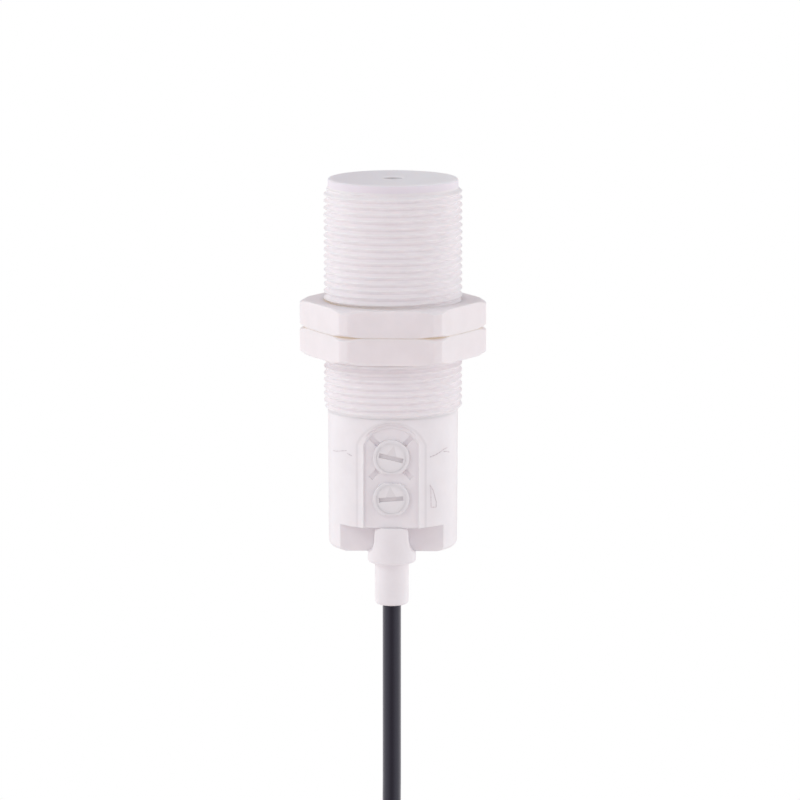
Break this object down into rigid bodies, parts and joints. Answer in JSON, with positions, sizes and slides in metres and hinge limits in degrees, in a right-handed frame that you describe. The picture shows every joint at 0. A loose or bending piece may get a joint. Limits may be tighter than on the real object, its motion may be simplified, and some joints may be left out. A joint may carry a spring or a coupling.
{
  "type": "capacitive proximity sensor",
  "caption": "White plastic threaded barrel sensor with a flat sensing face, two hexagon lock nuts, a rear housing with slotted adjusters, and a tied connection cable.",
  "frame": {"origin": "on the barrel's axis, in the plane of the front nut's clamping face", "axes": "+Z along the barrel's axis to the sensing face, -Y to the side with the adjusters and the cable outlet, +X to the right seen from that side"},
  "size_m": [0.0707, 0.036, 0.2724],
  "materials": {
    "barrel_plastic": "satin white moulding",
    "nut_plastic": "satin white moulding",
    "housing_plastic": "semi-gloss white moulding",
    "adjuster_plastic": "semi-gloss white moulding",
    "relief_plastic": "satin white moulding",
    "seal_rubber": "matt black",
    "spring_steel": "bright",
    "blue_plastic": "matt",
    "rotor_plastic": "matt",
    "copper_foil": "bright copper",
    "circuit_board": "green lacquer",
    "screen_metal": "dull",
    "tinned_metal": "bright tin",
    "resin": "glossy cast resin",
    "chip_plastic": "matt black",
    "can_metal": "satin",
    "cable_jacket": "satin dark grey",
    "core_brown": "satin",
    "core_blue": "satin",
    "core_black": "satin",
    "tie_plastic": "satin"
  },
  "bodies": {
    "sensor": {"threaded_barrel": "barrel_plastic", "rear_housing": "housing_plastic", "strain_relief": "relief_plastic", "barrel_seal": "seal_rubber", "outlet_clip": "spring_steel", "selector_switch": "blue_plastic", "sensitivity_trimmer": "blue_plastic", "sensing_electrode": "copper_foil", "guard_ring": "copper_foil", "electrode_carrier": "circuit_board", "main_board": "circuit_board", "shield_can": "screen_metal", "electrode_lead": "tinned_metal", "tinned_ends": "tinned_metal", "front_potting": "resin", "oscillator_chip": "chip_plastic", "voltage_regulator": "chip_plastic", "output_driver": "chip_plastic", "surge_suppressor": "chip_plastic", "chip_resistors": "chip_plastic", "smoothing_capacitor": "can_metal", "cable": "cable_jacket", "cable_coil": "cable_jacket", "cable_tail": "cable_jacket", "core_brown": "core_brown", "inner_core_brown": "core_brown", "core_blue": "core_blue", "inner_core_blue": "core_blue", "core_black": "core_black", "inner_core_black": "core_black", "coil_ties": "tie_plastic"},
    "front_nut": {"front_nut": "nut_plastic"},
    "rear_nut": {"rear_nut": "nut_plastic"},
    "selector": {"selector_knob": "adjuster_plastic", "selector_seal": "seal_rubber", "selector_clip": "spring_steel", "selector_rotor": "rotor_plastic"},
    "sensitivity_adjuster": {"sensitivity_knob": "adjuster_plastic", "sensitivity_seal": "seal_rubber", "sensitivity_clip": "spring_steel", "trimmer_rotor": "rotor_plastic"}
  },
  "joints": [
    {"name": "front_nut_slide", "type": "slide", "parent": "sensor", "child": "front_nut", "axis": [0, 0, 1], "range_m": [0, 0.0225]},
    {"name": "rear_nut_slide", "type": "slide", "parent": "sensor", "child": "rear_nut", "axis": [0, 0, 1], "range_m": [-0.0105, 0]},
    {"name": "selector_turn", "type": "hinge", "parent": "sensor", "child": "selector", "pos_m": [0, -0.0132, -0.0326], "axis": [0, -1, 0], "range_deg": [-122, 148]},
    {"name": "sensitivity_turn", "type": "hinge", "parent": "sensor", "child": "sensitivity_adjuster", "pos_m": [0, -0.0132, -0.0416], "axis": [0, -1, 0], "range_deg": [-140, 130]}
  ]
}
